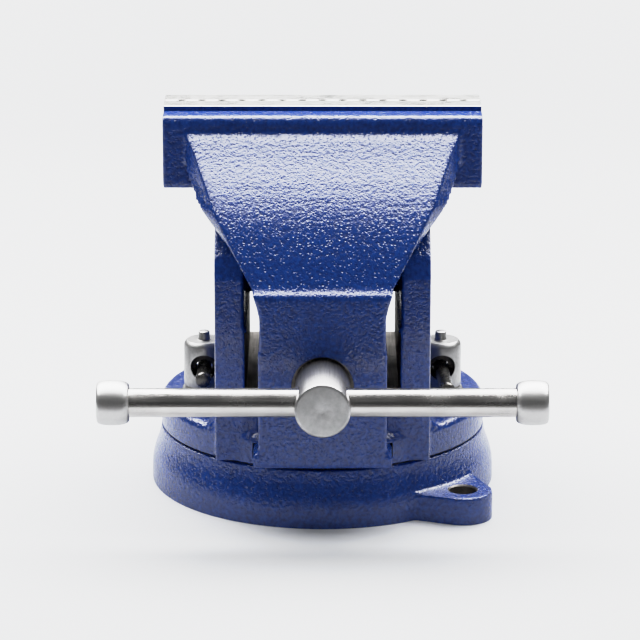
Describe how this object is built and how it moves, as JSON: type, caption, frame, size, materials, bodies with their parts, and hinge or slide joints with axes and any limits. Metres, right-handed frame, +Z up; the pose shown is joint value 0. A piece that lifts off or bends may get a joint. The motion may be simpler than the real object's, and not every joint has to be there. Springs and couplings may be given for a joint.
{
  "type": "bench vise",
  "caption": "Swivel-base bench vise with a sliding jaw on an inverted channel beam, a screw with a sliding handle, flat jaw plates, and locks with loose bars on a round base.",
  "frame": {"origin": "on the swivel axis, at the underside of the base", "axes": "+Z up, -Y towards the screw handle, the way the moving jaw opens, +X to the right when facing the handle"},
  "size_m": [0.1718, 0.209, 0.1561],
  "materials": {
    "blue_enamel": "glossy hammered enamel on cast iron",
    "ground_steel": "ground jaw steel",
    "turned_steel": "fine turned steel",
    "zinc_steel": "bright plated steel",
    "black_steel": "black oxide screws",
    "plain_iron": "unpainted cast iron"
  },
  "bodies": {
    "base": {"base_casting": "blue_enamel"},
    "body": {"body_casting": "blue_enamel", "fixed_jaw_plate": "ground_steel", "fixed_plate_screw_left": "black_steel", "fixed_plate_screw_right": "black_steel", "screw_nut": "plain_iron", "nut_bolt": "black_steel", "lock_bolt_left": "zinc_steel", "lock_bolt_right": "zinc_steel", "clamp_shoe_left": "plain_iron", "clamp_shoe_right": "plain_iron", "lock_washer_left": "zinc_steel", "lock_washer_right": "zinc_steel"},
    "jaw": {"moving_jaw_casting": "blue_enamel", "moving_jaw_plate": "ground_steel", "moving_plate_screw_left": "black_steel", "moving_plate_screw_right": "black_steel"},
    "screw": {"main_screw": "turned_steel", "thrust_washer": "zinc_steel", "screw_collar": "plain_iron", "collar_pin": "turned_steel"},
    "handle": {"handle_bar": "turned_steel", "handle_end_left": "turned_steel", "handle_end_right": "turned_steel"},
    "lock_nut_left": {"lock_nut_left": "zinc_steel"},
    "lock_nut_right": {"lock_nut_right": "zinc_steel"},
    "lock_bar_left": {"lock_bar_left": "turned_steel"},
    "lock_bar_right": {"lock_bar_right": "turned_steel"}
  },
  "joints": [
    {"name": "swivel", "type": "hinge", "parent": "base", "child": "body", "pos_m": [0, 0, 0.0229], "axis": [0, 0, 1], "continuous": true},
    {"name": "jaw_slide", "type": "slide", "parent": "body", "child": "jaw", "axis": [0, -1, 0], "range_m": [0, 0.125]},
    {"name": "screw_spin", "type": "hinge", "parent": "jaw", "child": "screw", "pos_m": [0, -0.074, 0.0598], "axis": [0, -1, 0], "range_deg": [0, 9000]},
    {"name": "handle_slide", "type": "slide", "parent": "screw", "child": "handle", "axis": [1, 0, 0], "range_m": [-0.0625, 0.0625]},
    {"name": "lock_turn_left", "type": "hinge", "parent": "body", "child": "lock_nut_left", "pos_m": [-0.048, 0, 0.0376], "axis": [0, 0, 1], "range_deg": [-25, 0]},
    {"name": "lock_turn_right", "type": "hinge", "parent": "body", "child": "lock_nut_right", "pos_m": [0.048, 0, 0.0376], "axis": [0, 0, 1], "range_deg": [-3, 22]},
    {"name": "lock_bar_slide_left", "type": "slide", "parent": "lock_nut_left", "child": "lock_bar_left", "axis": [0, -1, 0], "range_m": [0, 0.0135]},
    {"name": "lock_bar_slide_right", "type": "slide", "parent": "lock_nut_right", "child": "lock_bar_right", "axis": [0.0523, -0.9986, 0], "range_m": [-0.0135, 0]}
  ],
  "couplings": [
    {"joint": "screw_spin", "follows": "jaw_slide", "rad_per_m": 1256.6}
  ]
}
